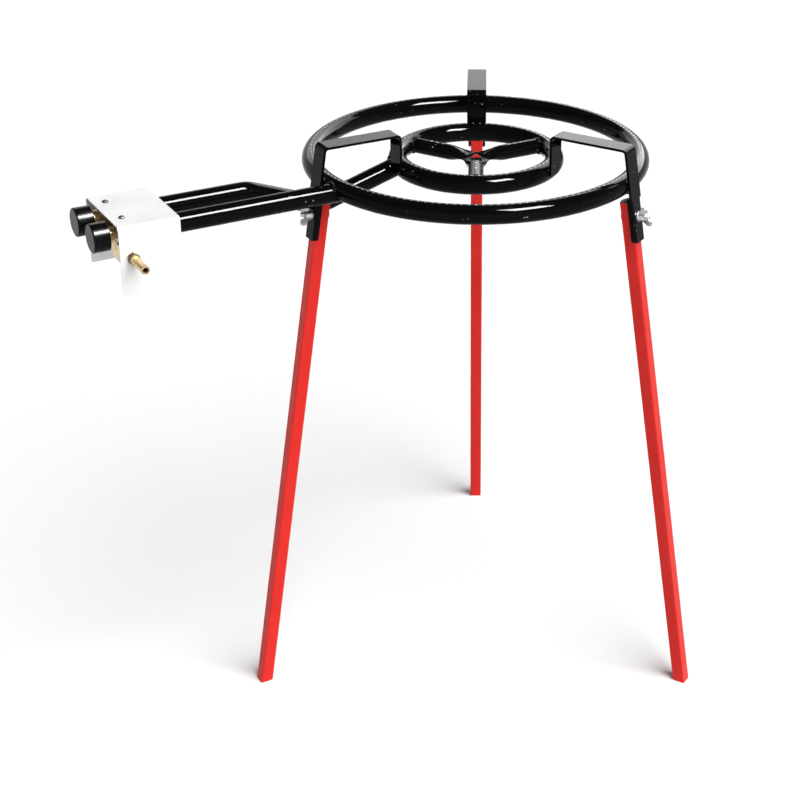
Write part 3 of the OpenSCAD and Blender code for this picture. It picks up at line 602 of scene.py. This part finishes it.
def spoke(node, angle, centre):
    """Tube from the inner ring whose hub end is pressed flat."""
    hub = SPOKE_FLAT_W / 2 / math.tan(math.radians(60)) + WELD_GAP
    reach = INNER_MID_R - TUBE_R * SPOKE_SUNK
    stations = spoke_stations(hub, reach)
    bm = bmesh.new()
    loops = [tube_start(bm, SPOKE_R, SPOKE_SIDES, Matrix.Translation((hub, 0, 0)))]
    for (before, _), (after, _) in zip(stations, stations[1:]):
        loops.append(run_on(bm, loops[-1], (after - before, 0, 0)))
    for edges, (_, share) in zip(loops, stations):
        ease = share * share * (3 - 2 * share)
        wide = SPOKE_FLAT_W / 2 + (SPOKE_R - SPOKE_FLAT_W / 2) * ease
        thick = SPOKE_FLAT_T / 2 + (SPOKE_R - SPOKE_FLAT_T / 2) * ease
        verts = list({v for e in edges for v in e.verts})
        bmesh.ops.scale(bm, verts=verts, vec=(1, wide / SPOKE_R, thick / SPOKE_R))
    for end in (loops[0], loops[-1]):
        bmesh.ops.contextual_create(bm, geom=end)
    bmesh.ops.recalc_face_normals(bm, faces=bm.faces)
    first, last = hub + SPOKE_FLAT_LEN + 0.1 * MM, reach - 0.1 * MM
    drill_ports(bm, [v for v in bm.verts if v.co.z > SPOKE_R - HAIR and first < v.co.x < last])
    rim = [e for e in bm.edges if e.calc_face_angle(0) > 1 and e.verts[0].co.x < hub + HAIR]
    round_over(bm, rim, SPOKE_END_EASE, 3)
    put(bm, bm.verts, Matrix.Translation(centre) @ about_z(angle))
    stand_in(node, bm, extra=(PORT_EDGE, PORT_INSIDE), sharp=40)


def outer_feed_tube():
    """Straight from its mouth to the outer ring."""
    bm = bmesh.new()
    place = RINGS + Vector((-MOUTH_U, -FEED_Y, -INNER_DROP))
    mouth = tube_start(bm, TUBE_R, TUBE_SIDES, Matrix.Translation(place))
    join = math.sqrt(OUTER_MID_R ** 2 - FEED_Y ** 2)
    far = run_on(bm, mouth, (MOUTH_U - join - OUTER_JOIN_BACK, 0, 0))
    bmesh.ops.contextual_create(bm, geom=far)
    cap_wall(bm, mouth, TUBE_WALL, (FEED_BORE, 0, 0))
    bmesh.ops.recalc_face_normals(bm, faces=bm.faces)
    stand_in("outer_feed_tube", bm)


def inner_feed_tube():
    """Level from its mouth, down under the outer ring and up to the inner ring."""
    r = FEED_BEND_R
    downhill = Vector((math.cos(DIP_SLOPE), 0, -math.sin(DIP_SLOPE)))
    uphill = Vector((math.cos(RISE_SLOPE), 0, math.sin(RISE_SLOPE)))
    dip_u = math.sqrt(OUTER_MID_R ** 2 - FEED_Y ** 2)
    join_u = math.sqrt(INNER_MID_R ** 2 - FEED_Y ** 2)
    low_z = -2 * TUBE_R - DIP_GAP
    down = (-INNER_DROP - low_z - 2 * r * (1 - math.cos(DIP_SLOPE))) / math.sin(DIP_SLOPE)
    level_u = dip_u + down * math.cos(DIP_SLOPE) + 2 * r * math.sin(DIP_SLOPE)
    up = (dip_u - join_u - INNER_JOIN_BACK) / math.cos(RISE_SLOPE) - r * math.tan(RISE_SLOPE)
    start = RINGS + Vector((0, FEED_Y, 0))
    place = start + Vector((-MOUTH_U, 0, -INNER_DROP))
    bm = bmesh.new()
    mouth = tube_start(bm, TUBE_R, TUBE_SIDES, Matrix.Translation(place))
    edges = run_on(bm, mouth, (MOUTH_U - level_u, 0, 0))
    edges = bend_on(bm, edges, start + Vector((-level_u, 0, -INNER_DROP - r)), (0, 1, 0), DIP_SLOPE)
    edges = run_on(bm, edges, down * downhill)
    low_centre = start + Vector((-dip_u, 0, low_z + r))
    edges = bend_on(bm, edges, low_centre, (0, -1, 0), DIP_SLOPE + RISE_SLOPE)
    edges = run_on(bm, edges, up * uphill)
    bmesh.ops.contextual_create(bm, geom=edges)
    cap_wall(bm, mouth, TUBE_WALL, (FEED_BORE, 0, 0))
    bmesh.ops.recalc_face_normals(bm, faces=bm.faces)
    stand_in("inner_feed_tube", bm)


burner_ring("outer_ring", OUTER_MID_R, RINGS)
burner_ring("inner_ring", INNER_MID_R, INNER_CENTRE)
for spoke_node, spoke_angle in SPOKE_ANGLES.items():
    spoke(spoke_node, spoke_angle, INNER_CENTRE)
outer_feed_tube()
inner_feed_tube()


# Welds


def post_frame(angle):
    """X outwards along the post's slope, Z up the leg, from the middle of the outer ring's tube."""
    return (
        Matrix.Translation(RINGS) @ about_z(angle)
        @ Matrix.Translation((OUTER_MID_R, 0, 0)) @ Matrix.Rotation(-SPLAY, 4, "Y")
    )


def bead(bm, points, radius):
    """A weld as a row of overlapping drops."""
    for point in points:
        size = radius * rng.uniform(0.85, 1.15)
        drop = bmesh.ops.create_icosphere(bm, subdivisions=2, radius=size)["verts"]
        uneven = Matrix.Diagonal((rng.uniform(0.9, 1.2), rng.uniform(0.9, 1.2), rng.uniform(0.8, 1.0), 1))
        put(bm, drop, Matrix.Translation(point) @ uneven)


def around_tube(radius, drops):
    """Points (y, z) round a tube that runs along X."""
    turns = [math.tau * i / drops for i in range(drops)]
    return [(radius * math.cos(t), radius * math.sin(t)) for t in turns]


def feed_seam(mid_r, centre, tube_y, tube_z):
    """Points of the seam where a feed tube meets the outside of a ring."""
    points = []
    for across, rise in around_tube(TUBE_R + FEED_WELD_OUT, FEED_DROPS):
        y, z = tube_y + across, tube_z + rise
        if abs(z) < TUBE_R * 0.98:
            ring_r = mid_r + math.sqrt(TUBE_R ** 2 - z * z)
            points.append(centre + Vector((-math.sqrt(ring_r ** 2 - y * y), y, z)))
    return points


def spoke_seam(turn):
    """Points of the seam where a spoke meets the inside of the inner ring."""
    points = []
    for y, z in around_tube(SPOKE_R, SPOKE_DROPS):
        ring_r = INNER_MID_R - math.sqrt(TUBE_R ** 2 - z * z)
        points.append(INNER_CENTRE + turn @ Vector((math.sqrt(ring_r ** 2 - y * y), y, z)))
    return points


def weld_beads():
    bm = bmesh.new()
    row = [STRIP_W * (i / (STRIP_DROPS - 1) - 0.5) for i in range(STRIP_DROPS)]
    foot_x = INNER_MID_R + TUBE_R - FOOT_WELD_SUNK
    for angle in POST_ANGLES.values():
        post = post_frame(angle)
        for z in (-POST_WELD_Z, POST_WELD_Z):
            bead(bm, [post @ Vector((TUBE_R - POST_WELD_SUNK, y, z)) for y in row], POST_WELD_R)
        turn = Matrix.Translation(INNER_CENTRE) @ about_z(angle)
        bead(bm, [turn @ Vector((foot_x, y, FOOT_WELD_Z)) for y in row], FOOT_WELD_R)
    bead(bm, feed_seam(OUTER_MID_R, RINGS, -FEED_Y, -INNER_DROP), FEED_WELD_R)
    bead(bm, feed_seam(INNER_MID_R, INNER_CENTRE, FEED_Y, 0), FEED_WELD_R)
    hub_r = SPOKE_FLAT_W / 2 / math.sin(math.radians(60)) - HUB_WELD_SUNK
    for angle in SPOKE_ANGLES.values():
        bead(bm, spoke_seam(about_z(angle)), SPOKE_WELD_R)
        bead(bm, [INNER_CENTRE + about_z(angle + 60) @ Vector((hub_r, 0, 0))], HUB_WELD_R)
    piece("weld_beads", bm, FIXED, "black_enamel", sharp=180)


weld_beads()


# Supports, legs, bolts and nuts


def threaded(bm, start, length):
    """Screw thread about Z, as one saw-tooth line turned with a rise of one pitch."""
    root_r = BOLT_R - THREAD_DEPTH
    line = [bm.verts.new((root_r, 0, start))]
    for i in range(round(length / THREAD_PITCH)):
        line.append(bm.verts.new((BOLT_R, 0, start + (i + 0.5) * THREAD_PITCH)))
        line.append(bm.verts.new((root_r, 0, start + (i + 1) * THREAD_PITCH)))
    edges = [bm.edges.new(pair) for pair in zip(line, line[1:])]
    bmesh.ops.spin(
        bm, geom=line + edges, cent=(0, 0, 0), axis=UP, dvec=UP * (THREAD_PITCH / THREAD_STEPS),
        angle=math.tau, steps=THREAD_STEPS, use_merge=False,
    )


def leg_bolts():
    """Low dark domes on the inner side of the legs, threads on the outer side."""
    bm = bmesh.new()
    end = STRIP_T + WASHER_T + NUT_HUB_H + BOLT_SPARE
    quarter = [math.pi / 2 * i / DOME_STEPS for i in range(DOME_STEPS + 1)]
    dome = [(BOLT_HEAD_R * math.sin(a), -LEG_W - BOLT_HEAD_H * math.cos(a)) for a in quarter]
    shank = [(BOLT_R, -LEG_W), (BOLT_R, STRIP_T), (BOLT_CORE_R, STRIP_T + BOLT_CHAMFER)]
    tip = [(BOLT_CORE_R, end - BOLT_CHAMFER), (BOLT_TIP_R, end), (0, end)]
    seat = Matrix.Translation((WEB_X, 0, -BOLT_DROP)) @ Matrix.Rotation(math.pi / 2, 4, "Y")
    for angle in POST_ANGLES.values():
        one = bmesh.new()
        lathe(one, dome + shank + tip, BOLT_SIDES)
        threaded(one, STRIP_T + THREAD_INSET, end - STRIP_T - THREAD_SHORT)
        bmesh.ops.remove_doubles(one, verts=one.verts, dist=HAIR)
        bmesh.ops.recalc_face_normals(one, faces=one.faces)
        for face in one.faces:
            face.material_index = int(face.calc_center_median().z < -LEG_W)
        put(one, one.verts, post_frame(angle) @ seat)
        join_into(bm, one)
    stand_in("leg_bolts", bm, extra=(DARK_SCREW,))


for side in POST_ANGLES:
    eased("support_" + side, STRIP_EASE)
    eased("leg_" + side, LEG_EASE)
    eased("washer_" + side, WASHER_EASE)
    eased("wing_nut_" + side, NUT_EASE)
eased("leg_plugs", PLUG_EASE, segments=3)
leg_bolts()


# Housing, nozzle, taps and knobs


def cross_screw_head(radius, height):
    """Domed screw head with a cross recess, from a square grid inside a turned rim."""
    one = bmesh.new()
    half = radius * CROSS_SPAN
    grid = bmesh.ops.create_grid(one, x_segments=CROSS_CELLS, y_segments=CROSS_CELLS, size=half)["verts"]
    bmesh.ops.translate(one, verts=grid, vec=(0, 0, height))
    slot = half / CROSS_CELLS
    cross = [f for f in one.faces if min(abs(c) for c in f.calc_center_median().xy) < slot]
    around = [e for e in one.edges if e.is_boundary]
    recess = bmesh.ops.extrude_face_region(one, geom=cross)["geom"]
    bmesh.ops.translate(one, verts=loop_verts(recess), vec=(0, 0, -height * CROSS_DEPTH))
    bmesh.ops.delete(one, geom=[f for f in cross if f.is_valid], context="FACES")
    for share, drop in HEAD_DOME:
        around = run_on(one, around, (0, 0, 0))
        for v in {v for e in around for v in e.verts}:
            out = v.co.xy.normalized() * radius * share
            v.co = (*out, height * (1 - drop))
    bmesh.ops.recalc_face_normals(one, faces=one.faces)
    return one


def cover_screws():
    """Two screws on the housing's top, each turned as its driver left it."""
    bm = bmesh.new()
    lo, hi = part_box("housing_screws")
    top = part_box("valve_housing")[1].z
    for y in (-FEED_Y, FEED_Y):
        turn = Matrix.Rotation(rng.uniform(0, math.pi / 2), 4, "Z")
        head = cross_screw_head((hi.x - lo.x) / 2, hi.z - top)
        put(head, head.verts, Matrix.Translation(((lo.x + hi.x) / 2, y, top)) @ turn)
        join_into(bm, head)
    stand_in("housing_screws", bm)


def return_spring(tap):
    """The tap's spring, copied from its CAD node; the knob's push travel is read, but the spring is not
    shortened.
    """
    node, push = tap + "_tap_spring", tap + "_knob_push"
    travel = next(j["range_m"][1] for j in frame["record"]["behaviour"]["joints"] if j["name"] == push)
    lo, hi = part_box(node)
    made = stand_in(node, merged_copy(node))
    1 - travel / (hi.x - lo.x)
    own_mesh(made)


cover_screws()
eased("valve_housing", SHEET_EASE)
eased("inlet_nozzle", NOZZLE_EASE)
for tap in ("outer", "inner"):
    return_spring(tap)
    eased(tap + "_knob", KNOB_EASE)
    eased(tap + "_tap_bonnet", BONNET_EASE)
eased("valve_bracket", SHEET_EASE)
eased("gas_rail", RAIL_EASE)

for node_name, node_object in frame["nodes"].items():
    node_object.data.materials.clear()
    node_object.data.materials.append(SLOT_FINISH[NODE_SLOT[node_name]])


# Floor, light and camera


def floor():
    bm = bmesh.new()
    bmesh.ops.create_circle(bm, cap_ends=True, segments=96, radius=FLOOR_R)
    mesh = bpy.data.meshes.new("floor")
    bm.to_mesh(mesh)
    bm.free()
    paper = Finish("floor_paper", Specular_IOR_Level=0.1)
    paper.colour(paper.mixed(paper.noise(3, 2), (0.93, 0.93, 0.93), (0.94, 0.94, 0.94)))
    paper.roughness(0.9)
    mesh.materials.append(paper.material)
    made = bpy.data.objects.new("floor", mesh)
    scene.collection.objects.link(made)
    made.location.z = -FLOOR_DROP


def aimed(name, lamp, azimuth, elevation, distance):
    """Hangs a lamp that faces the rings; azimuth is measured from +X towards +Y."""
    a, e = math.radians(azimuth), math.radians(elevation)
    out = Vector((math.cos(a) * math.cos(e), math.sin(a) * math.cos(e), math.sin(e)))
    made = bpy.data.objects.new(name, lamp)
    scene.collection.objects.link(made)
    made.location = RINGS + out * distance
    made.rotation_mode = "QUATERNION"
    made.rotation_quaternion = out.to_track_quat("Z", "Y")
    return made


def soft_box(name, azimuth, elevation, distance, size, radiance):
    """Rectangular lamp for the highlights alone."""
    lamp = bpy.data.lights.new(name, "AREA")
    lamp.shape = "RECTANGLE"
    lamp.size, lamp.size_y = size
    lamp.energy = radiance * math.pi * size[0] * size[1]
    made = aimed(name, lamp, azimuth, elevation, distance)
    made.visible_diffuse = False
    made.visible_camera = False


def daylight(name, azimuth, elevation, strength, spread):
    """Broad light for the matt colours and the shadow alone."""
    lamp = bpy.data.lights.new(name, "SUN")
    lamp.energy = strength
    lamp.angle = math.radians(spread)
    made = aimed(name, lamp, azimuth, elevation, distance=3.0)
    made.visible_glossy = False


def lights():
    """The camera's own side is at azimuth -121; angles to its right are larger."""
    soft_box("key_box", azimuth=-75, elevation=55, distance=3.0, size=(1.2, 1.0), radiance=300)
    soft_box("back_box", azimuth=24, elevation=28, distance=3.2, size=(2.4, 1.7), radiance=10.5)
    soft_box("middle_box", azimuth=52, elevation=24, distance=3.2, size=(0.75, 1.3), radiance=5.5)
    soft_box("rim_box", azimuth=75, elevation=21, distance=3.2, size=(1.9, 0.9), radiance=2.6)
    daylight("room_light", azimuth=-75, elevation=50, strength=4.1, spread=50)


def room():
    """White round the horizon and dim overhead; less of it reaches matt surfaces."""
    world = bpy.data.worlds.new("studio")
    scene.world = world
    world.use_nodes = True
    sky = Graph(world.node_tree)
    background = sky.tree.nodes["Background"]
    direction = sky.node("ShaderNodeTexCoord", output="Generated")
    height = sky.node("ShaderNodeSeparateXYZ", inputs={"Vector": direction}, output="Z")
    stops = [(ROOM_WHITE_TO, 1), (ROOM_DIM_FROM, ROOM_DIM)]
    sky.feed(background.inputs["Color"], sky.node("ShaderNodeValToRGB", {"stops": stops}, {"Fac": height}))
    rays = ("Is Camera Ray", "Is Glossy Ray", "Is Transmission Ray")
    seen, mirrored, through = (sky.node("ShaderNodeLightPath", output=ray) for ray in rays)
    direct = seen.either(mirrored).either(through)
    sky.feed(background.inputs["Strength"], ROOM_ON_MATT + direct * (1 - ROOM_ON_MATT))


def camera():
    """Stands where the photograph was taken; the heading is measured from +Y towards +X."""
    flat = math.cos(CAMERA_PITCH)
    east, north = math.sin(CAMERA_HEADING), math.cos(CAMERA_HEADING)
    ahead = Vector((east * flat, north * flat, -math.sin(CAMERA_PITCH)))
    level = Vector((north, -east, 0))
    over = level.cross(ahead)
    right = level * math.cos(CAMERA_ROLL) + over * math.sin(CAMERA_ROLL)
    top = over * math.cos(CAMERA_ROLL) - level * math.sin(CAMERA_ROLL)
    lens = bpy.data.cameras.new("camera")
    lens.lens = CAMERA_LENS
    lens.shift_x = CAMERA_SHIFT_X
    lens.shift_y = CAMERA_SHIFT_Y
    made = bpy.data.objects.new("camera", lens)
    scene.collection.objects.link(made)
    axes = Matrix((right, top, -ahead)).transposed().to_4x4()
    made.matrix_world = Matrix.Translation(CAMERA_PLACE) @ axes
    scene.camera = made


floor()
lights()
room()
camera()
scene.view_settings.view_transform = "Standard"
